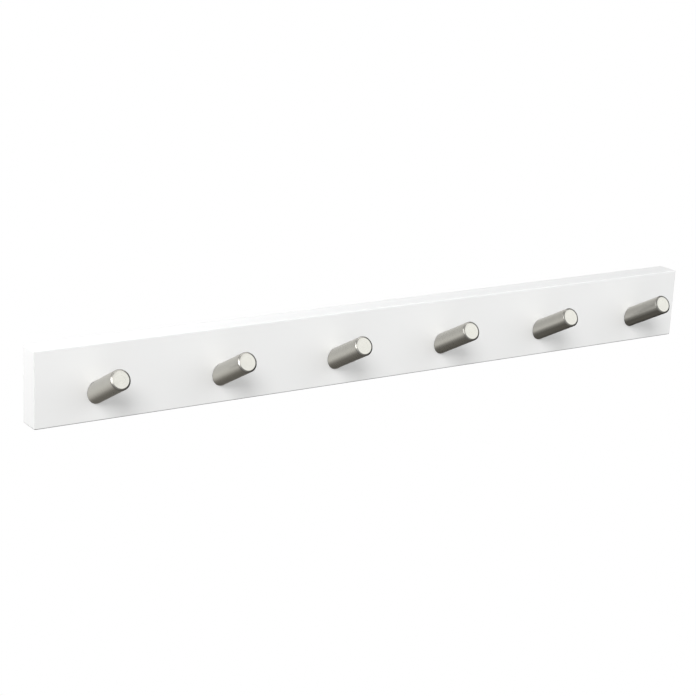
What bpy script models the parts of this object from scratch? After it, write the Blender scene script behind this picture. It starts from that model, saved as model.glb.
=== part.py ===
"""Wall coat rail: a lacquered board with six slanted round pegs, screwed on from behind.

Frame, in metres: the origin is the centre of the board's back face, which lies against the wall.
+X runs along the board, +Z is up and the front of the board faces -Y.
"""
import math

import bmesh
import bpy

MM = 0.001
GAP = 0.3 * MM                    # clearance between pieces that touch
OVERCUT = 2 * MM                  # how far a cutter runs past the face it enters

# Board
BOARD_LENGTH = 625 * MM
BOARD_HEIGHT = 60 * MM
BOARD_THICKNESS = 20 * MM
BOARD_EDGE = 1 * MM               # rounding of every arris
BOARD_EDGE_SEGMENTS = 3

# Pegs
PEG_COUNT = 6
PEG_PITCH = 105 * MM
PEG_DIAMETER = 16 * MM
PEG_TILT = math.radians(28)       # of the axis, above the horizontal
PEG_LENGTH = 44.5 * MM            # along the axis, from the board's face to the tip
PEG_CHAMFER_WIDTH = 1.5 * MM     # taken off the end face's radius
PEG_CHAMFER_DEPTH = 0.7 * MM      # along the axis
PEG_Z = -7.5 * MM                 # where the axis meets the board's face

# Machine screw, washer and dowel pin, one of each for a peg
SCREW_DIAMETER = 5 * MM
SCREW_LENGTH = 25 * MM            # under the head
SCREW_HEAD_DIAMETER = 9.5 * MM
SCREW_HEAD_HEIGHT = 3.7 * MM
SCREW_HEAD_FLAT = 2.6 * MM        # radius of the flat on top of the pan head
SCREW_HEAD_DOME = 1.9 * MM        # height of its rounded shoulder
SCREW_HEAD_SINK = 0.5 * MM        # of the head's top, below the back face
SCREW_END_CHAMFER = 0.8 * MM
SCREW_Z = -4.5 * MM
WASHER_DIAMETER = 10 * MM
WASHER_THICKNESS = 1 * MM
COUNTERBORE_DIAMETER = 12 * MM
PIN_DIAMETER = 3 * MM
PIN_LENGTH = 8 * MM               # half in the board, half in the peg
PIN_CHAMFER = 0.4 * MM
PIN_Z = -10.9 * MM

# Keyhole hanger plates and the wood screws that hold them
HANGER_X = 210 * MM               # of each plate's centre, left and right of the middle
PLATE_WIDTH = 20 * MM
PLATE_HEIGHT = 45 * MM
PLATE_THICKNESS = 2 * MM
PLATE_CORNER = 4 * MM
KEYHOLE_RADIUS = 4.5 * MM         # round entry, for a screw head up to 8.4 mm across
KEYHOLE_ENTRY_Z = -5 * MM
SLOT_RADIUS = 2.3 * MM            # half the width of the slot above the entry
SLOT_TOP_Z = 7 * MM               # centre of the slot's round end
POCKET_RADIUS = 6 * MM
POCKET_DEPTH = 9 * MM             # from the back face
WOOD_SCREW_Z = 17.5 * MM          # above and below the plate's centre
WOOD_SCREW_DIAMETER = 3.5 * MM
WOOD_SCREW_HEAD_DIAMETER = 6 * MM
WOOD_SCREW_HEAD_SINK = 0.2 * MM
WOOD_SCREW_LENGTH = 12 * MM
WOOD_SCREW_POINT = 3 * MM

# Cross recesses: length, width and depth of each bar
MACHINE_CROSS = (4.8 * MM, 1.1 * MM, 2.0 * MM)
WOOD_CROSS = (3.2 * MM, 0.8 * MM, 1.3 * MM)

# Facets round a full turn
PEG_STEPS = 48
SCREW_STEPS = 24
PIN_STEPS = 16
ARC_STEPS = 6                     # along a quarter turn of an outline
SHOULDER_STEPS = 4                # along the rounded shoulder of a pan head

# Points closer than this are one point
MERGE_DISTANCE = 0.001 * MM

UPRIGHT = math.radians(90)        # turns an outline drawn in local XY to stand in world XZ
FACING_BACK = math.radians(-90)   # turns local +Z to world +Y
UPSIDE_DOWN = math.radians(180)
PEG_TURN = UPRIGHT - PEG_TILT     # turns local +Z forwards and up, along a peg's axis
SHARPEST_SMOOTH = math.radians(30)   # faces that meet at more than this keep a sharp edge


# ---- scene ---------------------------------------------------------------------------------

def clear_scene():
    for existing in list(bpy.data.objects):
        bpy.data.objects.remove(existing, do_unlink=True)


def new_collection(name):
    collection = bpy.data.collections.new(name)
    bpy.context.scene.collection.children.link(collection)
    return collection


def new_material(name, colour, roughness, metallic):
    made = bpy.data.materials.new(name)
    made.use_nodes = True
    shader = made.node_tree.nodes["Principled BSDF"]
    shader.inputs["Base Color"].default_value = (*colour, 1.0)
    shader.inputs["Roughness"].default_value = roughness
    shader.inputs["Metallic"].default_value = metallic
    return made


def new_empty(name, location, parent=None):
    empty = bpy.data.objects.new(name, None)
    empty.location = location
    empty.parent = parent
    PARTS.objects.link(empty)
    return empty


def add_object(name, mesh, collection, parent=None, location=(0, 0, 0), turn_x=0.0):
    made = bpy.data.objects.new(name, mesh)
    made.parent = parent
    made.location = location
    made.rotation_euler = (turn_x, 0, 0)
    collection.objects.link(made)
    return made


# ---- shapes --------------------------------------------------------------------------------

def to_mesh(name, bm):
    mesh = bpy.data.meshes.new(name)
    bm.to_mesh(mesh)
    bm.free()
    return mesh


def box_mesh(name, size):
    """A box of the given size about its centre."""
    bm = bmesh.new()
    bmesh.ops.create_cube(bm, size=1.0)
    bmesh.ops.scale(bm, vec=size, verts=bm.verts)
    return to_mesh(name, bm)


def rod_mesh(name, diameter, length, steps):
    """A cylinder about its centre, along local Z."""
    bm = bmesh.new()
    bmesh.ops.create_cone(bm, cap_ends=True, segments=steps, radius1=diameter / 2,
                          radius2=diameter / 2, depth=length)
    return to_mesh(name, bm)


def turned_object(name, profile, steps, closed=False):
    """A turned shape about local Z. The profile's (radius, height) points run top to bottom."""
    bm = bmesh.new()
    points = [bm.verts.new((radius, 0, height)) for radius, height in profile]
    for first, second in zip(points, points[1:]):
        bm.edges.new((first, second))
    if closed:
        bm.edges.new((points[-1], points[0]))
    made = add_object(name, to_mesh(name, bm), WORKSHOP)
    screw = made.modifiers.new("turn", "SCREW")
    screw.axis = "Z"
    screw.steps = steps
    screw.render_steps = steps
    screw.use_merge_vertices = True
    screw.merge_threshold = MERGE_DISTANCE
    return made


def arc(centre_y, radius, start, end):
    """Points of an arc round (0, centre_y), from one angle in degrees to another."""
    steps = round(ARC_STEPS * abs(end - start) / 90)
    angles = [math.radians(start + (end - start) * i / steps) for i in range(steps + 1)]
    return [(radius * math.cos(a), centre_y + radius * math.sin(a)) for a in angles]


def rounded_rectangle(width, height, corner):
    points = []
    for quarter, (side_x, side_y) in enumerate([(1, 1), (-1, 1), (-1, -1), (1, -1)]):
        for x, y in arc(0, corner, 90 * quarter, 90 * quarter + 90):
            points.append((x + side_x * (width / 2 - corner), y + side_y * (height / 2 - corner)))
    return points


def keyhole_outline():
    """A round entry with a narrower slot rising out of it."""
    neck = math.degrees(math.acos(SLOT_RADIUS / KEYHOLE_RADIUS))
    entry = arc(KEYHOLE_ENTRY_Z, KEYHOLE_RADIUS, 180 - neck, 360 + neck)
    return entry + arc(SLOT_TOP_Z, SLOT_RADIUS, 0, 180)


def pocket_outline():
    """The room that a wall screw's head slides in, with round ends."""
    return arc(KEYHOLE_ENTRY_Z, POCKET_RADIUS, 180, 360) + arc(SLOT_TOP_Z, POCKET_RADIUS, 0, 180)


def flat_mesh(name, outline, thickness, hole=None):
    """A flat plate about local Z, from a 2D curve with an optional hole."""
    curve = bpy.data.curves.new(name, "CURVE")
    curve.dimensions = "2D"
    curve.fill_mode = "BOTH"
    curve.extrude = thickness / 2
    for loop in [outline] + ([hole] if hole else []):
        spline = curve.splines.new("POLY")
        spline.points.add(len(loop) - 1)
        for point, (x, y) in zip(spline.points, loop):
            point.co = (x, y, 0, 1)
        spline.use_cyclic_u = True
    mesh = finished_mesh(add_object(name, curve, WORKSHOP))
    bm = bmesh.new()
    bm.from_mesh(mesh)
    bmesh.ops.remove_doubles(bm, verts=bm.verts, dist=MERGE_DISTANCE)
    bmesh.ops.recalc_face_normals(bm, faces=bm.faces)
    bm.to_mesh(mesh)
    bm.free()
    return mesh


def finished_mesh(master):
    """The evaluated mesh of a master shape, in its own coordinates; the master is removed."""
    bpy.context.view_layer.update()
    evaluated = master.evaluated_get(bpy.context.evaluated_depsgraph_get())
    mesh = bpy.data.meshes.new_from_object(evaluated)
    bpy.data.objects.remove(master, do_unlink=True)
    return mesh


def cut(piece, cutter):
    cutter.hide_render = True
    cutter.display_type = "WIRE"
    boolean = piece.modifiers.new(cutter.name, "BOOLEAN")
    boolean.operation = "DIFFERENCE"
    boolean.object = cutter


def cut_cross(screw, bar):
    """Cuts a cross recess into a screw's head, whose top is at the screw's origin."""
    length, width, depth = bar
    for name, size in (("wide", (length, width, depth + OVERCUT)),
                       ("tall", (width, length, depth + OVERCUT))):
        cut(screw, add_object(f"{screw.name}_cross_{name}", box_mesh(name, size), CUTTERS, None,
                              (0, 0, (OVERCUT - depth) / 2)))


def finish(mesh, surface):
    """Gives a finished mesh its material, and smooth shading on its round faces."""
    mesh.materials.clear()
    mesh.materials.append(surface)
    mesh.shade_smooth()
    mesh.set_sharp_from_angle(angle=SHARPEST_SMOOTH)
    return mesh


# ---- pieces --------------------------------------------------------------------------------

def make_board():
    """The board, with its arrises rounded before anything is drilled or routed."""
    size = (BOARD_LENGTH, BOARD_THICKNESS, BOARD_HEIGHT)
    board = add_object("board", box_mesh("board", size), PARTS, RAIL,
                       (0, -BOARD_THICKNESS / 2, 0))
    board.data.materials.append(LACQUER)
    bevel = board.modifiers.new("rounded_arrises", "BEVEL")
    bevel.width = BOARD_EDGE
    bevel.segments = BOARD_EDGE_SEGMENTS
    return board


def peg_mesh():
    """A bar cut off parallel to the board's face, with a screw hole and a pin hole in the cut."""
    radius = PEG_DIAMETER / 2
    blank_end = -PEG_DIAMETER     # far enough behind the board's face to be cut off all round
    profile = [(0, PEG_LENGTH), (radius - PEG_CHAMFER_WIDTH, PEG_LENGTH),
               (radius, PEG_LENGTH - PEG_CHAMFER_DEPTH), (radius, blank_end), (0, blank_end)]
    peg = turned_object("peg_blank", profile, PEG_STEPS)
    peg.location = (0, -BOARD_THICKNESS, PEG_Z)
    peg.rotation_euler = (PEG_TURN, 0, 0)
    base_y = -BOARD_THICKNESS - GAP

    slant_size = PEG_LENGTH       # well over the blank's width
    slant = add_object("slant_cutter", box_mesh("slant", [slant_size] * 3), CUTTERS, None,
                       (0, base_y + slant_size / 2, PEG_Z))
    cut(peg, slant)

    screw_end = -SCREW_HEAD_SINK - SCREW_HEAD_HEIGHT - SCREW_LENGTH
    for name, diameter, end_y, z in (("screw_bore", SCREW_DIAMETER, screw_end, SCREW_Z),
                                     ("pin_bore", PIN_DIAMETER, PIN_END_Y, PIN_Z)):
        low_y = end_y - 2 * GAP
        high_y = base_y + OVERCUT
        bore = add_object(name, rod_mesh(name, diameter + 2 * GAP, high_y - low_y, PIN_STEPS),
                          CUTTERS, None, (0, (low_y + high_y) / 2, z), UPRIGHT)
        cut(peg, bore)
    return finish(finished_mesh(peg), SATIN_STEEL)


def machine_screw_mesh():
    """A pan-head machine screw along local Z, the top of its head at the origin."""
    head = SCREW_HEAD_DIAMETER / 2
    shank = SCREW_DIAMETER / 2
    end = -SCREW_HEAD_HEIGHT - SCREW_LENGTH
    profile = [(0, 0)]
    for i in range(SHOULDER_STEPS + 1):
        turn = math.radians(90) * i / SHOULDER_STEPS
        profile.append((SCREW_HEAD_FLAT + (head - SCREW_HEAD_FLAT) * math.sin(turn),
                        -SCREW_HEAD_DOME * (1 - math.cos(turn))))
    profile += [(head, -SCREW_HEAD_HEIGHT), (shank, -SCREW_HEAD_HEIGHT),
                (shank, end + SCREW_END_CHAMFER), (shank - SCREW_END_CHAMFER, end), (0, end)]
    screw = turned_object("machine_screw", profile, SCREW_STEPS)
    cut_cross(screw, MACHINE_CROSS)
    return finish(finished_mesh(screw), ZINC)


def washer_mesh():
    outer = WASHER_DIAMETER / 2
    inner = SCREW_DIAMETER / 2 + GAP
    profile = [(outer, 0), (outer, -WASHER_THICKNESS), (inner, -WASHER_THICKNESS), (inner, 0)]
    return finish(finished_mesh(turned_object("washer", profile, SCREW_STEPS, closed=True)), ZINC)


def pin_mesh():
    """A dowel pin about its centre, chamfered at both ends."""
    radius = PIN_DIAMETER / 2
    half = PIN_LENGTH / 2
    flat = radius - PIN_CHAMFER
    straight = half - PIN_CHAMFER
    profile = [(0, half), (flat, half), (radius, straight), (radius, -straight), (flat, -half),
               (0, -half)]
    return finish(finished_mesh(turned_object("dowel_pin", profile, PIN_STEPS)), SATIN_STEEL)


def wood_screw_mesh():
    """A countersunk wood screw along local Z, the top of its head at the origin."""
    head = WOOD_SCREW_HEAD_DIAMETER / 2
    shank = WOOD_SCREW_DIAMETER / 2
    profile = [(0, 0), (head, 0), (shank, shank - head),
               (shank, WOOD_SCREW_POINT - WOOD_SCREW_LENGTH), (0, -WOOD_SCREW_LENGTH)]
    screw = turned_object("wood_screw", profile, SCREW_STEPS)
    cut_cross(screw, WOOD_CROSS)
    return finish(finished_mesh(screw), ZINC)


def wood_screw_hole(name, depth):
    """A cutter for one wood screw: a 45 degree countersink from local Z 0, then a plain hole."""
    hole = WOOD_SCREW_DIAMETER / 2 + GAP
    gap_along_face = GAP * math.sqrt(2)
    mouth = WOOD_SCREW_HEAD_DIAMETER / 2 + WOOD_SCREW_HEAD_SINK + gap_along_face
    profile = [(0, OVERCUT), (mouth, OVERCUT), (mouth, 0), (hole, hole - mouth),
               (hole, -depth), (0, -depth)]
    mesh = finished_mesh(turned_object(name, profile, SCREW_STEPS))
    return add_object(name, mesh, CUTTERS)


def hanger_plate_mesh():
    """A keyhole plate in local XY, its countersinks open towards local -Z."""
    outline = rounded_rectangle(PLATE_WIDTH, PLATE_HEIGHT, PLATE_CORNER)
    flat = flat_mesh("hanger_plate", outline, PLATE_THICKNESS, hole=keyhole_outline())
    plate = add_object("hanger_plate", flat, WORKSHOP)
    for y in (WOOD_SCREW_Z, -WOOD_SCREW_Z):
        hole = wood_screw_hole("countersink", PLATE_THICKNESS + OVERCUT)
        hole.location = (0, y, -PLATE_THICKNESS / 2)
        hole.rotation_euler = (UPSIDE_DOWN, 0, 0)
        cut(plate, hole)
    return finish(finished_mesh(plate), ZINC)


# ---- assembly ------------------------------------------------------------------------------

def drill_for_peg(board, station):
    """The screw's hole and counterbore, from behind, and the pin's hole, from the front."""
    clearance = SCREW_DIAMETER / 2 + GAP
    counterbore = COUNTERBORE_DIAMETER / 2
    profile = [(0, OVERCUT), (counterbore, OVERCUT), (counterbore, WASHER_Y - GAP),
               (clearance, WASHER_Y - GAP), (clearance, -BOARD_THICKNESS - OVERCUT),
               (0, -BOARD_THICKNESS - OVERCUT)]
    mesh = finished_mesh(turned_object("screw_hole", profile, SCREW_STEPS))
    cut(board, add_object(f"{station.name}_screw_hole", mesh, CUTTERS, station,
                          (0, 0, SCREW_Z), FACING_BACK))

    front = -BOARD_THICKNESS - OVERCUT
    floor = PIN_END_Y + PIN_LENGTH + GAP
    pin_hole = rod_mesh("pin_hole", PIN_DIAMETER + 2 * GAP, floor - front, PIN_STEPS)
    cut(board, add_object(f"{station.name}_pin_hole", pin_hole, CUTTERS, station,
                          (0, (front + floor) / 2, PIN_Z), UPRIGHT))


def rout_for_hanger(board, hanger):
    """The plate's shallow recess, the deeper pocket behind its keyhole and two screw holes."""
    recess = flat_mesh("recess", rounded_rectangle(PLATE_WIDTH + 2 * GAP, PLATE_HEIGHT + 2 * GAP,
                                                   PLATE_CORNER + GAP),
                       PLATE_THICKNESS + GAP + OVERCUT)
    pocket = flat_mesh("pocket", pocket_outline(), POCKET_DEPTH + OVERCUT)
    for name, mesh, floor in (("recess", recess, PLATE_THICKNESS + GAP),
                              ("pocket", pocket, POCKET_DEPTH)):
        cut(board, add_object(f"{hanger.name}_{name}", mesh, CUTTERS, hanger,
                              (0, (OVERCUT - floor) / 2, 0), UPRIGHT))
    for end, z in (("top", WOOD_SCREW_Z), ("bottom", -WOOD_SCREW_Z)):
        hole = wood_screw_hole(f"{hanger.name}_{end}_hole", WOOD_SCREW_LENGTH + 2 * GAP)
        hole.parent = hanger
        hole.location = (0, 0, z)
        hole.rotation_euler = (FACING_BACK, 0, 0)
        cut(board, hole)


def fit_pegs(board):
    peg, screw, washer, pin = peg_mesh(), machine_screw_mesh(), washer_mesh(), pin_mesh()
    for number in range(1, PEG_COUNT + 1):
        x = (number - (PEG_COUNT + 1) / 2) * PEG_PITCH
        station = new_empty(f"station_{number}", (x, 0, 0), RAIL)
        drill_for_peg(board, station)
        add_object(f"peg_{number}", peg, PARTS, station,
                   (0, -BOARD_THICKNESS, PEG_Z), PEG_TURN)
        add_object(f"peg_screw_{number}", screw, PARTS, station,
                   (0, -SCREW_HEAD_SINK, SCREW_Z), FACING_BACK)
        add_object(f"peg_washer_{number}", washer, PARTS, station,
                   (0, WASHER_Y + WASHER_THICKNESS, SCREW_Z), FACING_BACK)
        add_object(f"peg_pin_{number}", pin, PARTS, station,
                   (0, PIN_END_Y + PIN_LENGTH / 2, PIN_Z), FACING_BACK)


def fit_hangers(board):
    plate, screw = hanger_plate_mesh(), wood_screw_mesh()
    for side, x in (("left", -HANGER_X), ("right", HANGER_X)):
        hanger = new_empty(f"hanger_{side}", (x, 0, 0), RAIL)
        rout_for_hanger(board, hanger)
        add_object(f"hanger_plate_{side}", plate, PARTS, hanger,
                   (0, -PLATE_THICKNESS / 2, 0), UPRIGHT)
        for end, z in (("top", WOOD_SCREW_Z), ("bottom", -WOOD_SCREW_Z)):
            add_object(f"hanger_screw_{side}_{end}", screw, PARTS, hanger,
                       (0, -WOOD_SCREW_HEAD_SINK, z), FACING_BACK)


# Depths that several pieces share
WASHER_Y = -SCREW_HEAD_SINK - SCREW_HEAD_HEIGHT - GAP - WASHER_THICKNESS   # washer's front side
PIN_END_Y = -BOARD_THICKNESS - GAP / 2 - PIN_LENGTH / 2                    # pin's end in the peg

clear_scene()
PARTS = new_collection("wall_coat_rail")
CUTTERS = new_collection("cutters")
WORKSHOP = new_collection("workshop")

LACQUER = new_material("white_lacquer", (0.83, 0.83, 0.82), 0.35, 0.0)
SATIN_STEEL = new_material("satin_steel", (0.52, 0.51, 0.48), 0.32, 1.0)
ZINC = new_material("zinc_plated_steel", (0.62, 0.63, 0.65), 0.4, 1.0)

RAIL = new_empty("wall_coat_rail", (0, 0, 0))
BOARD = make_board()
fit_pegs(BOARD)
fit_hangers(BOARD)
bpy.data.collections.remove(WORKSHOP)
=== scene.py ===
"""Looks for the wall coat rail: lacquered board, satin steel pegs and the fixings behind them.

Everything is in metres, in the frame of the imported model: the board's back lies on y = 0,
its front faces -Y, +X runs along it and +Z is up.
"""
import math

import bmesh
import bpy
from mathutils import Matrix, Quaternion, Vector


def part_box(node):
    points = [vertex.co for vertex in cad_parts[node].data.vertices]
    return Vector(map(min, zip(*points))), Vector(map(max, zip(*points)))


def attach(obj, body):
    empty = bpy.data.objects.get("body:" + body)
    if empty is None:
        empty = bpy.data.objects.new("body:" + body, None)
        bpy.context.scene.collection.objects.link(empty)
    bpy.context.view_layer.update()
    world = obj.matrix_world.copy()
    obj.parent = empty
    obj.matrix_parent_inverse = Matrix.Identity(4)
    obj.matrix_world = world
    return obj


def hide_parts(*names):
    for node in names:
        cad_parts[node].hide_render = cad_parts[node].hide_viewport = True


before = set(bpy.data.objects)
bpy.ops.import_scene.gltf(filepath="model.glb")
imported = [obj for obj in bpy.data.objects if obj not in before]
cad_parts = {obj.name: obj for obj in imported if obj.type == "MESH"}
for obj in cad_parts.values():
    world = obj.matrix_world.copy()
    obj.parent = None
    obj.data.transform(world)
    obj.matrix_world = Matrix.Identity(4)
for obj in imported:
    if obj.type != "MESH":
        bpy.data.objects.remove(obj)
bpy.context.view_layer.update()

MM = 0.001
TAU = 2 * math.pi
BOARD_LOW, BOARD_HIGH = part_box("board")
FACE_Y = BOARD_LOW.y                  # front face of the board
BACK_Y = BOARD_HIGH.y                 # its back face, against the wall
BOARD_EDGE = 1.0 * MM                 # rounding of every arris
BOARD_EDGE_SEGMENTS = 6
BACK_FACING = 0.98                    # least +Y part of a face's normal on the board's back
UPRIGHT = Matrix.Rotation(math.radians(90), 4, "X")       # local +Y up, local +Z to the front
FACING_BACK = Matrix.Rotation(math.radians(-90), 4, "X")  # local +Z to the back

PEG_NUMBERS = range(1, 7)
HANGER_SIDES = ("left", "right")
SCREW_ENDS = ("top", "bottom")

# Pegs
PEG_LOW, PEG_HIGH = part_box("peg_1")
PEG_RADIUS = (PEG_HIGH.x - PEG_LOW.x) / 2
PEG_TILT = math.radians(28)
PEG_LENGTH = 44.5 * MM                # along the axis, from the board's face to the tip
PEG_CHAMFER_WIDTH = 1.5 * MM          # across the end face
PEG_CHAMFER_DEPTH = 0.7 * MM          # along the axis
PEG_CHAMFER_BREAK = 0.3 * MM          # softening of its two edges
PEG_BASE_BREAK = 0.25 * MM            # edge break round the slanted cut
PEG_STAND_OFF = 0.05 * MM             # between the cut and the board's face
PEG_TIP_DEPTH = 3.0 * MM              # of the mesh ring below the chamfer
PEG_SIDE_RINGS = (0.75, 0.5, 0.35)    # further mesh rings, as shares of the length
PEG_END_RINGS = (0.6, 0.3)            # mesh rings on both ends, as shares of the radius
CAD_STAND_OFF = FACE_Y - PEG_HIGH.y    # the same gap in the CAD model
PEG_Z = PEG_LOW.z + PEG_RADIUS / math.cos(PEG_TILT) - CAD_STAND_OFF * math.tan(PEG_TILT)

# Fixings
SCREW_RADIUS = 2.5 * MM               # over the thread
SCREW_CORE = 2.07 * MM                # radius at the thread's root
SCREW_PITCH = 0.8 * MM
SCREW_HEAD_HEIGHT = 3.7 * MM
SCREW_HEAD_FLAT = 0.55                # share of the head's radius that is flat on top
SCREW_HEAD_DOME = 1.9 * MM            # height of the head's rounded shoulder
SCREW_NECK = 0.4 * MM                 # plain shank between head and thread
SCREW_END = 0.6 * MM                  # plain shank at the far end
SCREW_END_CHAMFER = 0.5 * MM
SCREW_END_EDGE = 0.1 * MM             # rounding of that chamfer
SCREW_CROSS = (5.0 * MM, 1.15 * MM, 2.4 * MM)  # length, width and depth of the recess
COUNTERBORE_RADIUS = 6.0 * MM         # of the hole for head and washer
PIN_RADIUS = 1.5 * MM
PIN_CHAMFER = 0.4 * MM
WASHER_EDGE = 0.2 * MM                # rounding of a washer's edges
SMALL_EDGE = 0.15 * MM                # rounding of the edges of pins and screw heads
WOOD_SCREW_RADIUS = 1.75 * MM         # over the thread
WOOD_SCREW_CORE = 1.2 * MM            # radius at the thread's root
WOOD_SCREW_PITCH = 1.3 * MM
WOOD_SCREW_POINT = 3.0 * MM           # length of the tapered end
WOOD_SCREW_LAND = 0.25 * MM           # straight rim of its countersunk head
WOOD_SCREW_EDGE = 0.12 * MM           # rounding of the head's edges
WOOD_SCREW_CONE = 1.5 * MM            # from the cone's end to the thread's start
WOOD_SCREW_NECK = 0.3 * MM            # plain core above the thread
WOOD_SCREW_TIP = 0.15 * MM            # least radius of core and thread
WOOD_SCREW_END = 0.2 * MM             # plain end below the thread
WOOD_SCREW_NOSE = 0.05 * MM           # of that end, the last blunt cone
WOOD_SCREW_NOSE_SHARE = 0.6           # radius there, as a share of the end's
WOOD_SCREW_CROSS = (3.4 * MM, 0.8 * MM, 1.5 * MM)  # length, width and depth of the recess
CROSS_TAPER = (0.55, 0.8)             # length and width at a recess's bottom, as shares
SEAT_GAP = 0.05 * MM                  # under a washer
CLOSE_FIT = 0.1 * MM                  # room round a fixing in its hole

# Keyhole plates
PLATE_CORNER = 4.0 * MM
PLATE_EDGE = 0.15 * MM                # rounding of its edges
KEYHOLE_RADIUS = 4.5 * MM             # of the round entry
KEYHOLE_ENTRY_Z = -5.0 * MM
SLOT_RADIUS = 2.3 * MM                # half the slot's width
SLOT_TOP_Z = 7.0 * MM                 # centre of the slot's round end
POCKET_RADIUS = 6.0 * MM              # half the width of the pocket behind the keyhole
POCKET_DEPTH = 9.0 * MM               # from the board's back

# Meshes
OVERCUT = 1.0 * MM                    # how far a cutter runs past the face it enters
WELD = 0.001 * MM                     # points closer than this are joined
POINT_RADIUS = 1e-7                   # a smaller ring is a single point
LEAST_SIDE = 2.2                      # a side is at least this many times a corner's rounding
PEG_SEGMENTS = 128
HOLE_SEGMENTS = 64
PIN_SEGMENTS = 48
SCREW_SEGMENTS = 40
SMALL_STEPS = 3                       # in the rounded corners of small turned pieces
ARC_STEPS = 16
KEYHOLE_STEPS = 40
THREAD_PROFILE = ((0.0, 1.0), (0.12, 1.0), (0.5, 0.0), (0.62, 0.0))  # shares of the pitch and the height

# Where painted shade goes on edges, chamfers and a peg's foot, as limits of a mask from off to fully on
EDGE_TURN = (0.995, 0.93)             # the normal's largest part, over a square board's rounded edge
LOWER_TURN = (-0.1, -0.6)             # the normal's upward part, from level to facing down
CHAMFER_OFF_SIDE = (0.05, 0.3)        # the normal's part along a peg, from its side to its chamfer
CHAMFER_OFF_END = (0.99, 0.93)        # the same, from its end face to its chamfer
FOOT_BAND = (0.9 * MM, 0.35 * MM)     # distance from a peg's slanted cut


# ---- materials -----------------------------------------------------------------------------

class Finish:
    """A Principled material with short ways to add procedural detail."""

    def __init__(self, name, colour, roughness, metallic=0.0, **sockets):
        self.material = bpy.data.materials.new(name)
        self.material.use_nodes = True
        self.nodes = self.material.node_tree.nodes
        self.links = self.material.node_tree.links
        self.shader = self.nodes["Principled BSDF"]
        self.set(self.shader, **{"Base Color": (*colour, 1.0), "Roughness": roughness,
                                 "Metallic": metallic}, **sockets)
        coordinates = self.nodes.new("ShaderNodeTexCoord")
        self.place = coordinates.outputs["Object"]
        self.facing = coordinates.outputs["Normal"]

    def set(self, node, **values):
        for socket, value in values.items():
            node.inputs[socket].default_value = value
        return node

    def split(self, vector):
        node = self.nodes.new("ShaderNodeSeparateXYZ")
        self.links.new(vector, node.inputs[0])
        return node.outputs

    def math(self, operation, first, second=0.0):
        node = self.nodes.new("ShaderNodeMath")
        node.operation = operation
        for socket, value in zip(node.inputs, (first, second)):
            if isinstance(value, (int, float)):
                socket.default_value = value
            else:
                self.links.new(value, socket)
        return node.outputs[0]

    def mask(self, value, limits):
        """0 up to the first limit, 1 from the second on."""
        return self.between(value, 0.0, 1.0, *limits)

    def even(self, density):
        """Coordinates with the same number of features per metre along each axis."""
        return self.stretched((density, density, density))

    def stretched(self, scale, place=None):
        """Coordinates scaled unevenly, in features per metre along each axis."""
        node = self.nodes.new("ShaderNodeMapping")
        self.links.new(place or self.place, node.inputs["Vector"])
        node.inputs["Scale"].default_value = scale
        return node.outputs["Vector"]

    def noise(self, place, detail=3.0, roughness=0.55, distortion=0.0):
        node = self.nodes.new("ShaderNodeTexNoise")
        self.links.new(place, node.inputs["Vector"])
        self.set(node, Scale=1.0, Detail=detail, Roughness=roughness, Distortion=distortion)
        return node.outputs["Fac"]

    def between(self, value, low, high, first=0.3, last=0.7):
        """The value's range from first to last stretched over low to high. A noise spans 0.3 to 0.7."""
        node = self.nodes.new("ShaderNodeMapRange")
        self.links.new(value, node.inputs["Value"])
        self.set(node, **{"From Min": first, "From Max": last, "To Min": low, "To Max": high})
        return node.outputs["Result"]

    def mixed(self, share, first, second):
        """The base colour: a mix of two colours, either of which may be another mix."""
        node = self.nodes.new("ShaderNodeMix")
        node.data_type = "RGBA"
        for socket, colour in (("A", first), ("B", second)):
            if isinstance(colour, bpy.types.NodeSocket):
                self.links.new(colour, node.inputs[socket])
            else:
                node.inputs[socket].default_value = (*colour, 1.0)
        self.links.new(share, node.inputs["Factor"])
        self.links.new(node.outputs["Result"], self.shader.inputs["Base Color"])
        return node.outputs["Result"]

    def colours(self, value, first, second):
        return self.mixed(self.between(value, 0.0, 1.0), first, second)

    def rough(self, value, low, high):
        self.links.new(self.between(value, low, high), self.shader.inputs["Roughness"])

    def bump(self, value, height, strength=1.0, below=None):
        """Relief of the given height in metres, on top of an earlier relief."""
        node = self.nodes.new("ShaderNodeBump")
        self.links.new(value, node.inputs["Height"])
        node.inputs["Distance"].default_value = height
        node.inputs["Strength"].default_value = strength
        if below:
            self.links.new(below, node.inputs["Normal"])
        self.links.new(node.outputs["Normal"], self.shader.inputs["Normal"])
        return node.outputs["Normal"]


def on_edges(finish):
    """How far a place is on a square board's rounded edges, and on its lower ones, from 0 to 1: where the
    lacquer gets its painted shade.
    """
    facing = finish.split(finish.facing)
    across, through, up = (finish.math("ABSOLUTE", part) for part in facing)
    squareness = finish.math("MAXIMUM", finish.math("MAXIMUM", across, through), up)
    edge = finish.mask(squareness, EDGE_TURN)
    return edge, finish.math("MULTIPLY", edge, finish.mask(facing[2], LOWER_TURN))


def white_lacquer():
    """Sprayed satin lacquer: faint orange peel, with painted shade over the rounded edges, darkest on the
    lower ones.
    """
    # Painted shade: a slightly darker white over every rounded edge, to damp its highlight, and a dark
    # grey on the lower edges for the shade that falls there
    edge_shade_colour, lower_edge_shade_colour = (0.80, 0.80, 0.795), (0.24, 0.24, 0.236)
    finish = Finish("white_lacquer", (0.87, 0.87, 0.868), 0.44)
    cloud = finish.noise(finish.even(9), detail=2.0)
    coat = finish.colours(cloud, (0.862, 0.862, 0.860), (0.878, 0.878, 0.876))
    edge, lower_edge_shade_mask = on_edges(finish)
    # painted shade mixed in over the edges, the dark grey on the lower ones
    finish.mixed(lower_edge_shade_mask, finish.mixed(edge, coat, edge_shade_colour), lower_edge_shade_colour)
    finish.rough(finish.noise(finish.even(60)), 0.40, 0.48)
    peel = finish.noise(finish.even(520), detail=2.0, roughness=0.4)
    finish.bump(peel, 0.006 * MM)
    return finish.material


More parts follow.
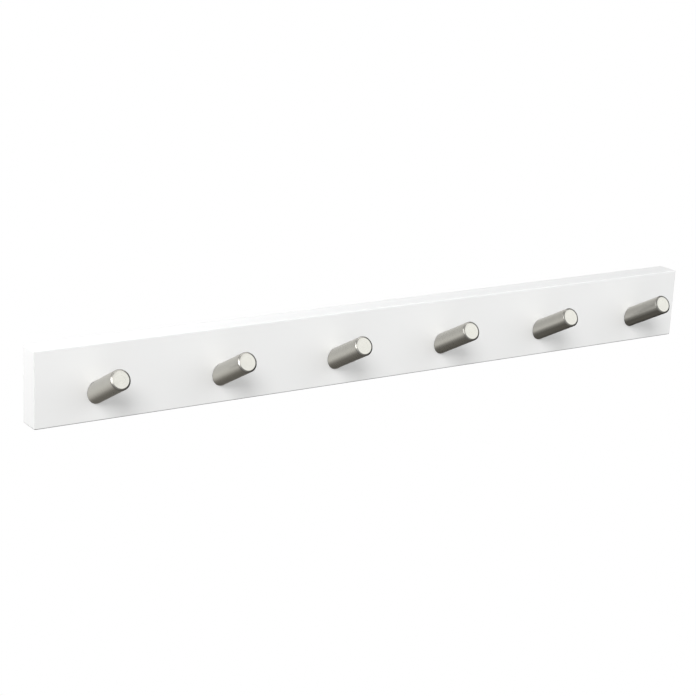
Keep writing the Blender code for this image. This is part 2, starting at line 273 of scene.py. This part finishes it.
def primed_back():
    """The back's thinner, rolled coat: duller, with sanding marks along the board."""
    finish = Finish("primed_back", (0.80, 0.80, 0.79), 0.6)
    finish.colours(finish.noise(finish.stretched((14, 14, 30))), (0.775, 0.775, 0.762),
                   (0.815, 0.815, 0.805))
    finish.rough(finish.noise(finish.even(80)), 0.52, 0.68)
    sanding = finish.bump(finish.noise(finish.stretched((40, 900, 2200))), 0.02 * MM)
    finish.bump(finish.noise(finish.even(700)), 0.03 * MM, below=sanding)
    return finish.material


def raw_fibreboard():
    """Cut fibreboard inside the routed pockets and drilled holes."""
    finish = Finish("raw_fibreboard", (0.42, 0.29, 0.17), 0.92)
    fibres = finish.noise(finish.stretched((2600, 900, 2600)), detail=5.0, roughness=0.7)
    finish.colours(fibres, (0.30, 0.195, 0.105), (0.54, 0.40, 0.255))
    finish.bump(fibres, 0.08 * MM)
    return finish.material


def round_place(finish):
    """Coordinates for turned pieces: (distance from the axis, turn, height along it)."""
    x, y, height = finish.split(finish.place)
    radius = finish.math("SQRT", finish.math("ADD", finish.math("MULTIPLY", x, x),
                                             finish.math("MULTIPLY", y, y)))
    turn = finish.math("MULTIPLY", finish.math("ARCTAN2", y, x), 1 / TAU)
    joined = finish.nodes.new("ShaderNodeCombineXYZ")
    for value, socket in zip((radius, turn, height), joined.inputs):
        finish.links.new(value, socket)
    return joined.outputs[0]


def satin_steel():
    """Stainless bar polished while it turns, with fine rings round it.

    The chamfer and a band at the foot of the slanted cut get a painted shade, a much darker steel.
    """
    # Painted shade: a much darker steel colour for the chamfer's dark reflection and the contact shadow at
    # the foot
    painted_shade_steel = (0.195, 0.19, 0.176)
    finish = Finish("satin_steel", (0.588, 0.572, 0.522), 0.3, 1.0, Anisotropic=0.45)
    tangent = finish.nodes.new("ShaderNodeTangent")
    tangent.direction_type = "RADIAL"
    tangent.axis = "Z"
    finish.links.new(tangent.outputs[0], finish.shader.inputs["Tangent"])
    place = round_place(finish)
    rings = finish.noise(finish.stretched((9000, 2.0, 9000), place), detail=4.0, roughness=0.75)
    broad = finish.noise(finish.stretched((700, 1.0, 700), place), detail=2.0)
    polished = finish.colours(broad, (0.572, 0.556, 0.506), (0.604, 0.588, 0.538))
    along = finish.split(finish.facing)[2]
    on_chamfer = finish.math("MULTIPLY", finish.mask(along, CHAMFER_OFF_SIDE),
                             finish.mask(along, CHAMFER_OFF_END))
    _, y, height = finish.split(finish.place)
    from_cut = finish.math("SUBTRACT", height, finish.math("MULTIPLY", y, math.tan(PEG_TILT)))
    at_foot = finish.mask(from_cut, FOOT_BAND)
    # painted shade on the chamfer and the foot band
    finish.mixed(finish.math("MAXIMUM", on_chamfer, at_foot), polished, painted_shade_steel)
    finish.rough(rings, 0.24, 0.34)
    finish.bump(rings, 0.004 * MM)
    return finish.material


def zinc_plate(name, colour, spread, roughness):
    """Bright zinc plating with a faint cloudy grain."""
    finish = Finish(name, colour, roughness, 1.0)
    grain = finish.noise(finish.even(420), detail=4.0, distortion=0.6)
    finish.colours(grain, [c - spread for c in colour], [c + spread for c in colour])
    finish.rough(grain, roughness - 0.07, roughness + 0.07)
    finish.bump(finish.noise(finish.even(3000)), 0.006 * MM)
    return finish.material


LACQUER = white_lacquer()
PRIMED = primed_back()
FIBREBOARD = raw_fibreboard()
STEEL = satin_steel()
PLATING = zinc_plate("zinc_plating", (0.63, 0.64, 0.66), 0.035, 0.33)
STAMPED_ZINC = zinc_plate("stamped_zinc", (0.60, 0.61, 0.63), 0.045, 0.4)
GROUND_STEEL = zinc_plate("ground_steel", (0.50, 0.50, 0.51), 0.02, 0.28)


# ---- shapes --------------------------------------------------------------------------------

def add_mesh(name, bm, materials=()):
    mesh = bpy.data.meshes.new(name)
    bm.to_mesh(mesh)
    bm.free()
    for surface in materials:
        mesh.materials.append(surface)
    made = bpy.data.objects.new(name, mesh)
    bpy.context.scene.collection.objects.link(made)
    return made


def softened(profile, radius, steps=4):
    """A (radius, height) profile with every inner corner rounded off."""
    points = [Vector(p) for p in profile]
    made = [points[0]]
    for before, corner, after in zip(points, points[1:], points[2:]):
        reach = min(radius, (before - corner).length / LEAST_SIDE, (after - corner).length / LEAST_SIDE)
        start = corner + (before - corner).normalized() * reach
        end = corner + (after - corner).normalized() * reach
        for i in range(steps + 1):
            t = i / steps
            made.append(start * (1 - t) ** 2 + corner * 2 * t * (1 - t) + end * t ** 2)
    return made + [points[-1]]


def bridge(bm, upper, lower):
    """Joins two rings of the same count, or a ring and a single pole, with faces."""
    count = max(len(upper), len(lower))
    for i in range(count):
        j = (i + 1) % count
        loop = [upper[i % len(upper)], lower[i % len(lower)], lower[j % len(lower)],
                upper[j % len(upper)]]
        bm.faces.new(list(dict.fromkeys(loop)))


def lofted(bm, rings):
    for upper, lower in zip(rings, rings[1:]):
        bridge(bm, upper, lower)


def ring(bm, radius, height, segments):
    """A ring of points about local Z; height may be a function of the angle."""
    if radius < POINT_RADIUS:
        return [bm.verts.new((0, 0, height))]
    level = height if callable(height) else lambda angle: height
    return [bm.verts.new((radius * math.cos(TAU * i / segments), radius * math.sin(TAU * i / segments),
                          level(TAU * i / segments))) for i in range(segments)]


def turned(name, profile, segments, surface):
    """A closed turned piece about local Z from a profile that runs top to bottom."""
    bm = bmesh.new()
    lofted(bm, [ring(bm, radius, height, segments) for radius, height in profile])
    return add_mesh(name, bm, [surface])


def spiral(bm, top, bottom, core, crest, pitch, segments):
    """A screw's ridge about local Z, from height top down to bottom. core and crest give radii.

    The surface is one band of lines that follow the helix. They are held between the two ends, where
    the ridge dies away, so the band closes on a plain ring there.
    """
    lines = []
    for share, ridge in THREAD_PROFILE:
        line = []
        for i in range((math.ceil((top - bottom) / pitch) + 2) * segments + 1):
            height = min(max(top + pitch * (1 - share - i / segments), bottom), top)
            fade = min(1.0, (top - height) / pitch, (height - bottom) / pitch)
            radius = core(height) + (crest(height) - core(height)) * ridge * fade
            angle = -TAU * i / segments
            line.append(bm.verts.new((radius * math.cos(angle), radius * math.sin(angle), height)))
        lines.append(line)
    lines.append(lines[0][segments:])
    for upper, lower in zip(lines, lines[1:]):
        for i in range(len(lower) - 1):
            bm.faces.new((upper[i], upper[i + 1], lower[i + 1], lower[i]))


def screw_blank(name, head, tip, core, crest, pitch, segments, surface):
    """A turned head and tip with a threaded shank between them, all about local Z."""
    bm = bmesh.new()
    for profile in (head, tip):
        lofted(bm, [ring(bm, radius, height, segments) for radius, height in profile])
    spiral(bm, head[-1][1], tip[0][1], core, crest, pitch, segments)
    bmesh.ops.remove_doubles(bm, verts=bm.verts, dist=WELD)
    bmesh.ops.recalc_face_normals(bm, faces=bm.faces)
    return add_mesh(name, bm, [surface])


def evaluated(piece):
    """The piece's mesh with its modifiers applied; the piece is removed."""
    bpy.context.view_layer.update()
    graph = bpy.context.evaluated_depsgraph_get()
    mesh = bpy.data.meshes.new_from_object(piece.evaluated_get(graph))
    bpy.data.objects.remove(piece, do_unlink=True)
    return mesh


def cut(piece, cutters):
    """Cuts the cutters out of a piece and returns the finished mesh. Cut faces keep a cutter's finish."""
    for cutter in cutters:
        boolean = piece.modifiers.new(cutter.name, "BOOLEAN")
        boolean.object = cutter
        boolean.material_mode = "TRANSFER"
    mesh = evaluated(piece)
    for cutter in cutters:
        bpy.data.objects.remove(cutter, do_unlink=True)
    return mesh


def smooth(mesh, degrees=30):
    """Smooth shading, except over edges sharper than the angle."""
    mesh.shade_smooth()
    mesh.set_sharp_from_angle(angle=math.radians(degrees))
    return mesh


def arc(centre_y, radius, start, end, steps=ARC_STEPS):
    """Points of an arc round (0, centre_y), from one angle in degrees to another."""
    angles = [math.radians(start + (end - start) * i / steps) for i in range(steps + 1)]
    return [(radius * math.cos(a), centre_y + radius * math.sin(a)) for a in angles]


def rounded_rectangle(width, height, corner):
    """The outline of a rectangle with round corners, about its centre."""
    points = []
    for quarter, (side_x, side_y) in enumerate([(1, 1), (-1, 1), (-1, -1), (1, -1)]):
        for x, y in arc(0, corner, 90 * quarter, 90 * quarter + 90):
            points.append((x + side_x * (width / 2 - corner), y + side_y * (height / 2 - corner)))
    return points


def keyhole(radius, slot):
    """The outline of a round entry with a narrower slot above it."""
    neck = math.degrees(math.acos(slot / radius))
    entry = arc(KEYHOLE_ENTRY_Z, radius, 180 - neck, 360 + neck, KEYHOLE_STEPS)
    return entry + arc(SLOT_TOP_Z, slot, 0, 180)


def flat(name, loops, thickness, surface, edge=0.0):
    """A flat plate about local Z from an outline and its holes, with rounded edges."""
    curve = bpy.data.curves.new(name, "CURVE")
    curve.dimensions = "2D"
    curve.fill_mode = "BOTH"
    curve.extrude = thickness / 2 - edge
    curve.bevel_depth = edge
    curve.bevel_resolution = 2
    curve.offset = -edge
    for loop in loops:
        spline = curve.splines.new("POLY")
        spline.points.add(len(loop) - 1)
        for point, (x, y) in zip(spline.points, loop):
            point.co = (x, y, 0, 1)
        spline.use_cyclic_u = True
    outline = bpy.data.objects.new(name, curve)
    bpy.context.scene.collection.objects.link(outline)
    mesh = evaluated(outline)
    bm = bmesh.new()
    bm.from_mesh(mesh)
    bmesh.ops.remove_doubles(bm, verts=bm.verts, dist=WELD)
    bmesh.ops.recalc_face_normals(bm, faces=bm.faces)
    return add_mesh(name, bm, [surface])


def placed(piece, matrix):
    piece.matrix_world = matrix
    return piece


def at(x, y, z):
    return Matrix.Translation((x, y, z))


def stand_for(name, mesh, matrix, nodes):
    """A finished piece in its place, standing for CAD nodes on the root body."""
    piece = bpy.data.objects.new(name, mesh)
    bpy.context.scene.collection.objects.link(piece)
    piece.matrix_world = matrix
    normals = piece.modifiers.new("flat_faces_stay_flat", "WEIGHTED_NORMAL")
    normals.keep_sharp = True
    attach(piece, "root")
    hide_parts(*nodes)
    return piece


def middle(node):
    """The centre of a CAD node's box."""
    low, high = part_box(node)
    return (low + high) / 2


# ---- pieces --------------------------------------------------------------------------------

def cross_cutters(name, length, width, depth):
    """Two tapered bars that cut a cross recess down from local z = 0."""
    made = []
    for turn in (0, 90):
        bm = bmesh.new()
        bmesh.ops.create_cube(bm, size=1.0)
        for v in bm.verts:
            deep = v.co.z < 0
            v.co.x *= length * (CROSS_TAPER[0] if deep else 1.0)
            v.co.y *= width * (CROSS_TAPER[1] if deep else 1.0)
            v.co.z = -depth if deep else OVERCUT
        bmesh.ops.rotate(bm, verts=bm.verts, matrix=Matrix.Rotation(math.radians(turn), 3, "Z"))
        made.append(add_mesh(f"{name}_{turn}", bm, [PLATING]))
    return made


def bore_cutter(name, node, radius, surface, matrix=Matrix.Identity(4)):
    """A hole along Y round a screw or pin, a little longer and wider than it."""
    low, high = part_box(node)
    centre = (low + high) / 2
    reach = (high.y - low.y) / 2 + CLOSE_FIT
    hole = turned(name, [(0, reach), (radius + CLOSE_FIT, reach), (radius + CLOSE_FIT, -reach),
                         (0, -reach)], HOLE_SEGMENTS, surface)
    return placed(hole, matrix @ Matrix.Translation(centre) @ FACING_BACK)


def peg_blank():
    """A round bar with a chamfered tip, cut off along the board's face. Its axis is local Z."""
    bm = bmesh.new()

    def peg_ring(radius, height):
        return ring(bm, radius, height, PEG_SEGMENTS)

    def slanted_ring(radius, stand_off):
        return peg_ring(radius, lambda angle: (radius * math.sin(angle) * math.tan(PEG_TILT)
                                               + stand_off / math.cos(PEG_TILT)))

    outer_share, inner_share = PEG_END_RINGS
    tip = softened([(PEG_RADIUS * outer_share, PEG_LENGTH), (PEG_RADIUS - PEG_CHAMFER_WIDTH, PEG_LENGTH),
                    (PEG_RADIUS, PEG_LENGTH - PEG_CHAMFER_DEPTH),
                    (PEG_RADIUS, PEG_LENGTH - PEG_TIP_DEPTH)], PEG_CHAMFER_BREAK)
    cut_radius = PEG_RADIUS - PEG_BASE_BREAK
    rings = [peg_ring(0, PEG_LENGTH), peg_ring(PEG_RADIUS * inner_share, PEG_LENGTH)]
    rings += [peg_ring(radius, height) for radius, height in tip]
    rings += [peg_ring(PEG_RADIUS, PEG_LENGTH * share) for share in PEG_SIDE_RINGS]
    rings.append(slanted_ring(PEG_RADIUS, PEG_STAND_OFF + PEG_BASE_BREAK))
    rings += [slanted_ring(cut_radius * share, PEG_STAND_OFF) for share in (1.0, *PEG_END_RINGS)]
    rings.append(peg_ring(0, PEG_STAND_OFF / math.cos(PEG_TILT)))
    lofted(bm, rings)
    return add_mesh("peg_blank", bm, [STEEL])


def make_pegs():
    lean = Matrix.Rotation(math.radians(90) - PEG_TILT, 4, "X")
    first = at(middle("peg_1").x, FACE_Y, PEG_Z) @ lean
    bores = [bore_cutter("tapped_hole", "peg_screw_1", SCREW_RADIUS, STEEL, first.inverted()),
             bore_cutter("pin_hole", "peg_pin_1", PIN_RADIUS, STEEL, first.inverted())]
    mesh = smooth(cut(peg_blank(), bores))
    for n in PEG_NUMBERS:
        stand_for(f"satin_peg_{n}", mesh, at(middle(f"peg_{n}").x, FACE_Y, PEG_Z) @ lean,
                  [f"peg_{n}"])


def machine_screw_mesh():
    low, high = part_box("peg_screw_1")
    head, length = (high.x - low.x) / 2, high.y - low.y
    flat_top = SCREW_HEAD_FLAT * head
    dome = [(0, 0)] + [(flat_top + (head - flat_top) * math.sin(a), -SCREW_HEAD_DOME * (1 - math.cos(a)))
                       for a in (math.radians(degrees) for degrees in range(0, 91, 9))]
    top = softened(dome + [(head, -SCREW_HEAD_HEIGHT), (SCREW_CORE, -SCREW_HEAD_HEIGHT),
                           (SCREW_CORE, -SCREW_HEAD_HEIGHT - SCREW_NECK)], SMALL_EDGE, SMALL_STEPS)
    tip = softened([(SCREW_CORE, SCREW_END - length), (SCREW_CORE, SCREW_END_CHAMFER - length),
                    (SCREW_CORE - SCREW_END_CHAMFER, -length), (0, -length)],
                   SCREW_END_EDGE, SMALL_STEPS)
    blank = screw_blank("machine_screw", top, tip, lambda height: SCREW_CORE,
                        lambda height: SCREW_RADIUS, SCREW_PITCH, SCREW_SEGMENTS, PLATING)
    return smooth(cut(blank, cross_cutters("cross", *SCREW_CROSS)))


def washer_mesh():
    low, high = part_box("peg_washer_1")
    inner, outer, thick = SCREW_RADIUS + CLOSE_FIT, (high.x - low.x) / 2, high.y - low.y
    middle_radius = (inner + outer) / 2
    half = softened([(middle_radius, 0), (outer, 0), (outer, -thick), (middle_radius, -thick),
                     (inner, -thick), (inner, 0), (middle_radius, 0)], WASHER_EDGE, SMALL_STEPS)
    bm = bmesh.new()
    lofted(bm, [ring(bm, radius, height, HOLE_SEGMENTS) for radius, height in half])
    bmesh.ops.remove_doubles(bm, verts=bm.verts, dist=WELD)
    return smooth(evaluated(add_mesh("washer", bm, [PLATING])))


def pin_mesh():
    low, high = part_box("peg_pin_1")
    half = (high.y - low.y) / 2
    profile = softened([(0, half), (PIN_RADIUS - PIN_CHAMFER, half), (PIN_RADIUS, half - PIN_CHAMFER),
                        (PIN_RADIUS, PIN_CHAMFER - half), (PIN_RADIUS - PIN_CHAMFER, -half),
                        (0, -half)], SMALL_EDGE, SMALL_STEPS)
    return smooth(evaluated(turned("dowel_pin", profile, PIN_SEGMENTS, GROUND_STEEL)))


def make_peg_fixings():
    screw, washer, pin = machine_screw_mesh(), washer_mesh(), pin_mesh()
    for n in PEG_NUMBERS:
        for made, node, mesh, slot in (("pan_screw", "peg_screw", screw, "screws"),
                                       ("pan_washer", "peg_washer", washer, "washers")):
            centre, back = middle(f"{node}_{n}"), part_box(f"{node}_{n}")[1].y
            stand_for(f"{made}_{n}", mesh, at(centre.x, back, centre.z) @ FACING_BACK,
                      [f"{node}_{n}"])
        stand_for(f"dowel_pin_{n}", pin, Matrix.Translation(middle(f"peg_pin_{n}")) @ FACING_BACK,
                  [f"peg_pin_{n}"])


def wood_screw_mesh():
    low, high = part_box("hanger_screw_left_top")
    head, length = (high.x - low.x) / 2, high.y - low.y

    def shank(full):
        return lambda height: max(full * min(1.0, (height + length) / WOOD_SCREW_POINT), WOOD_SCREW_TIP)

    core = shank(WOOD_SCREW_CORE)
    top = softened([(0, 0), (head, 0), (head, -WOOD_SCREW_LAND),
                    (WOOD_SCREW_RADIUS, -head + WOOD_SCREW_CONE),
                    (WOOD_SCREW_CORE, -head + WOOD_SCREW_NECK), (WOOD_SCREW_CORE, -head)],
                   WOOD_SCREW_EDGE, SMALL_STEPS)
    bottom = WOOD_SCREW_END - length
    tip = [(core(bottom), bottom), (core(bottom) * WOOD_SCREW_NOSE_SHARE, -length + WOOD_SCREW_NOSE),
           (0, -length)]
    blank = screw_blank("wood_screw", top, tip, core, shank(WOOD_SCREW_RADIUS), WOOD_SCREW_PITCH,
                        SCREW_SEGMENTS, PLATING)
    return smooth(cut(blank, cross_cutters("cross", *WOOD_SCREW_CROSS)))


def plate_mesh():
    low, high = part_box("hanger_plate_left")
    width, thick, height = high - low
    screw_low, screw_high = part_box("hanger_screw_left_top")
    rim = (screw_high.x - screw_low.x) / 2 + high.y - screw_high.y + WOOD_SCREW_LAND + CLOSE_FIT
    bore = WOOD_SCREW_RADIUS + CLOSE_FIT
    plate = flat("keyhole_plate", [rounded_rectangle(width, height, PLATE_CORNER),
                                   keyhole(KEYHOLE_RADIUS, SLOT_RADIUS)], thick, STAMPED_ZINC, PLATE_EDGE)
    holes = []
    for end in SCREW_ENDS:
        offset = middle(f"hanger_screw_left_{end}").z - middle("hanger_plate_left").z
        hole = turned(f"countersink_{end}", [(0, OVERCUT), (rim, OVERCUT), (rim, 0), (bore, bore - rim),
                                             (bore, -2 * thick), (0, -2 * thick)],
                      HOLE_SEGMENTS, STAMPED_ZINC)
        holes.append(placed(hole, at(0, offset, -thick / 2) @ Matrix.Rotation(math.pi, 4, "X")))
    return smooth(cut(plate, holes))


def make_hangers():
    plate, screw = plate_mesh(), wood_screw_mesh()
    for side in HANGER_SIDES:
        node = f"hanger_plate_{side}"
        stand_for(f"keyhole_plate_{side}", plate, Matrix.Translation(middle(node)) @ UPRIGHT, [node])
        for end in SCREW_ENDS:
            node = f"hanger_screw_{side}_{end}"
            centre = middle(node)
            stand_for(f"wood_screw_{side}_{end}", screw,
                      at(centre.x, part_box(node)[1].y, centre.z) @ FACING_BACK, [node])


def board_cutters():
    """Everything drilled and routed into the board, with fibreboard left showing."""
    made = []
    for n in PEG_NUMBERS:
        screw, washer_floor = middle(f"peg_screw_{n}"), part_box(f"peg_washer_{n}")[0].y - SEAT_GAP
        bore = SCREW_RADIUS + CLOSE_FIT
        profile = [(0, OVERCUT), (COUNTERBORE_RADIUS, OVERCUT), (COUNTERBORE_RADIUS, washer_floor),
                   (bore, washer_floor), (bore, FACE_Y - OVERCUT), (0, FACE_Y - OVERCUT)]
        hole = turned(f"screw_hole_{n}", profile, HOLE_SEGMENTS, FIBREBOARD)
        made.append(placed(hole, at(screw.x, BACK_Y, screw.z) @ FACING_BACK))
        made.append(bore_cutter(f"pin_hole_{n}", f"peg_pin_{n}", PIN_RADIUS, FIBREBOARD))
    for side in HANGER_SIDES:
        low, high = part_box(f"hanger_plate_{side}")
        centre = (low + high) / 2
        room = 2 * CLOSE_FIT
        outline = rounded_rectangle(high.x - low.x + 2 * room, high.z - low.z + 2 * room,
                                    PLATE_CORNER + room)
        depth = BACK_Y - low.y + CLOSE_FIT
        recess = flat(f"recess_{side}", [outline], depth + OVERCUT, FIBREBOARD)
        made.append(placed(recess, at(centre.x, BACK_Y + (OVERCUT - depth) / 2, centre.z) @ UPRIGHT))
        outline = arc(KEYHOLE_ENTRY_Z, POCKET_RADIUS, 180, 360) + arc(SLOT_TOP_Z, POCKET_RADIUS, 0, 180)
        pocket = flat(f"pocket_{side}", [outline], POCKET_DEPTH + OVERCUT, FIBREBOARD)
        made.append(placed(pocket, at(centre.x, BACK_Y + (OVERCUT - POCKET_DEPTH) / 2, 0) @ UPRIGHT))
        for end in SCREW_ENDS:
            made.append(bore_cutter(f"pilot_{side}_{end}", f"hanger_screw_{side}_{end}",
                                    WOOD_SCREW_RADIUS, FIBREBOARD))
    return made


def make_board():
    """The board: a block with rounded edges, drilled and routed from the back."""
    bm = bmesh.new()
    bmesh.ops.create_cube(bm, size=1.0)
    bmesh.ops.scale(bm, vec=BOARD_HIGH - BOARD_LOW, verts=bm.verts)
    bmesh.ops.translate(bm, vec=(BOARD_LOW + BOARD_HIGH) / 2, verts=bm.verts)
    bmesh.ops.bevel(bm, geom=bm.edges[:], offset=BOARD_EDGE, segments=BOARD_EDGE_SEGMENTS,
                    profile=0.5, affect="EDGES")
    surfaces = [LACQUER, PRIMED]
    blank = add_mesh("board_blank", bm, surfaces)
    for face in blank.data.polygons:
        if face.normal.y > BACK_FACING:
            face.material_index = surfaces.index(PRIMED)
    mesh = smooth(cut(blank, board_cutters()), degrees=25)
    board = stand_for("lacquered_board", mesh, Matrix.Identity(4), ["board"])
    board.visible_glossy = False     # the pegs mirror the studio, not the board behind them


# ---- stage ---------------------------------------------------------------------------------

FLOOR_Z = -0.45
FLOOR_RADIUS = 12.0
FLOOR_SEGMENTS = 96
CAMERA_AIM = Vector((-0.0413, FACE_Y, -0.0003))
CAMERA_DISTANCE = 1.4221
CAMERA_LENS = 91.4                    # mm
CAMERA_SENSOR = 36.0                  # mm across
CAMERA_AZIMUTH = math.radians(-33.87)
CAMERA_ELEVATION = math.radians(16.28)
CAMERA_ROLL = math.radians(2.74)

# A flag's direction, how far a ray points in it where the flag starts and where it is full, and the
# studio's strength at those two places. The broad flag has a run of greys instead.
SIDE_FLAG = ((0.95, 0.05, -0.27), (0.66, 0.78), (1.0, 0.03))
LOW_LEFT_FLAG = ((-0.65, -0.05, -0.76), (0.725, 0.82), (1.0, 0.27))
BROAD_FLAG = (0.5, 0.0, -0.87)
# How far a ray points at the broad flag, and the grey there
STUDIO_GREYS = [(-1.0, (0.15, 0.15, 0.15)), (-0.3, (0.60, 0.60, 0.60)), (0.0, (0.82, 0.825, 0.82)),
                (0.2, (0.79, 0.79, 0.77)), (0.42, (0.64, 0.63, 0.61)), (0.62, (0.25, 0.24, 0.222)),
                (1.0, (0.065, 0.062, 0.057))]


def make_floor():
    """A plain white ground that lights nothing and shows in no reflection."""
    bm = bmesh.new()
    bmesh.ops.create_circle(bm, cap_ends=True, segments=FLOOR_SEGMENTS, radius=FLOOR_RADIUS)
    floor = add_mesh("studio_floor", bm)
    floor.location.z = FLOOR_Z
    pale = Finish("pale_floor", (0.0, 0.0, 0.0), 1.0,
                  **{"Emission Color": (1.0, 1.0, 1.0, 1.0), "Emission Strength": 1.0,
                     "Specular IOR Level": 0.0})
    floor.data.materials.append(pale.material)
    floor.visible_diffuse = False
    floor.visible_glossy = False


def softbox(name, direction, distance, size, power):
    """An area light aimed at the middle of the rail, from a direction seen from there."""
    data = bpy.data.lights.new(name, "AREA")
    data.shape = "RECTANGLE"
    data.size, data.size_y = size
    data.energy = power
    light = bpy.data.objects.new(name, data)
    bpy.context.scene.collection.objects.link(light)
    away = Vector(direction).normalized()
    light.location = away * distance
    light.rotation_mode = "QUATERNION"
    light.rotation_quaternion = away.to_track_quat("Z", "Y")
    light.visible_camera = False
    return light


def make_lights():
    """Four lights for the faces, and two that show only in reflections, on the tips of the pegs."""
    softbox("key", (-0.49, -0.64, 0.594), distance=12.0, size=(4.6, 4.6), power=874)
    fill = softbox("fill", (0.535, -0.678, 0.503), distance=2.4, size=(3.2, 2.2), power=16.8)
    fill.data.color = (0.965, 1.0, 1.03)
    softbox("left_side", (-1.0, 0.2, 0.6), distance=0.9, size=(0.4, 0.4), power=3.3)
    back = softbox("back", (0.35, 0.93, 0.08), distance=3.0, size=(2.0, 1.2), power=32)
    back.visible_glossy = False
    top_glint = softbox("top_glint", (0.0, -0.14, 0.76), distance=0.78, size=(1.05, 0.32), power=3.6)
    top_glint.visible_diffuse = False
    left_glint = softbox("left_glint", (-0.36, -0.74, 0.57), distance=3.0, size=(0.9, 1.0), power=9.5)
    left_glint.visible_diffuse = False


def make_world():
    """Shades of grey round the object, and three dark flags: below, to the right and low on the left."""
    world = bpy.data.worlds.new("studio")
    bpy.context.scene.world = world
    world.use_nodes = True
    nodes, links = world.node_tree.nodes, world.node_tree.links
    nodes.clear()
    place = nodes.new("ShaderNodeTexCoord")

    def facing(direction, values, results):
        """Stretches how far a ray points in a direction, from a pair of values to a pair of results."""
        dot = nodes.new("ShaderNodeVectorMath")
        dot.operation = "DOT_PRODUCT"
        dot.inputs[1].default_value = Vector(direction).normalized()
        links.new(place.outputs["Generated"], dot.inputs[0])
        stretch = nodes.new("ShaderNodeMapRange")
        for socket, value in zip(("From Min", "From Max", "To Min", "To Max"), values + results):
            stretch.inputs[socket].default_value = value
        links.new(dot.outputs["Value"], stretch.inputs["Value"])
        return stretch.outputs["Result"]

    ramp = nodes.new("ShaderNodeValToRGB")
    links.new(facing(BROAD_FLAG, (-1.0, 1.0), (0.0, 1.0)), ramp.inputs["Fac"])
    first_stops = list(ramp.color_ramp.elements)
    for i, (facing_flag, grey) in enumerate(STUDIO_GREYS):
        stop = first_stops[i] if i < len(first_stops) else ramp.color_ramp.elements.new(1.0)
        stop.position = (facing_flag + 1) / 2
        stop.color = (*grey, 1.0)
    flags = nodes.new("ShaderNodeMath")
    flags.operation = "MULTIPLY"
    for flag, socket in zip((SIDE_FLAG, LOW_LEFT_FLAG), flags.inputs):
        links.new(facing(*flag), socket)
    studio = nodes.new("ShaderNodeBackground")
    links.new(ramp.outputs["Color"], studio.inputs["Color"])
    links.new(flags.outputs[0], studio.inputs["Strength"])
    white = nodes.new("ShaderNodeBackground")
    white.inputs["Color"].default_value = (1.0, 1.0, 1.0, 1.0)
    mix = nodes.new("ShaderNodeMixShader")
    links.new(nodes.new("ShaderNodeLightPath").outputs["Is Camera Ray"], mix.inputs["Fac"])
    links.new(studio.outputs[0], mix.inputs[1])
    links.new(white.outputs[0], mix.inputs[2])
    output = nodes.new("ShaderNodeOutputWorld")
    links.new(mix.outputs[0], output.inputs["Surface"])


def make_camera():
    back = Vector((math.sin(CAMERA_AZIMUTH) * math.cos(CAMERA_ELEVATION),
                   -math.cos(CAMERA_AZIMUTH) * math.cos(CAMERA_ELEVATION),
                   math.sin(CAMERA_ELEVATION)))
    data = bpy.data.cameras.new("camera")
    data.lens = CAMERA_LENS
    data.sensor_width = CAMERA_SENSOR
    camera = bpy.data.objects.new("camera", data)
    bpy.context.scene.collection.objects.link(camera)
    camera.location = CAMERA_AIM + back * CAMERA_DISTANCE
    camera.rotation_mode = "QUATERNION"
    camera.rotation_quaternion = back.to_track_quat("Z", "Y") @ Quaternion((0, 0, 1), CAMERA_ROLL)
    bpy.context.scene.camera = camera


make_board()
make_pegs()
make_peg_fixings()
make_hangers()
make_floor()
make_lights()
make_world()
make_camera()
bpy.context.scene.view_settings.view_transform = "Standard"
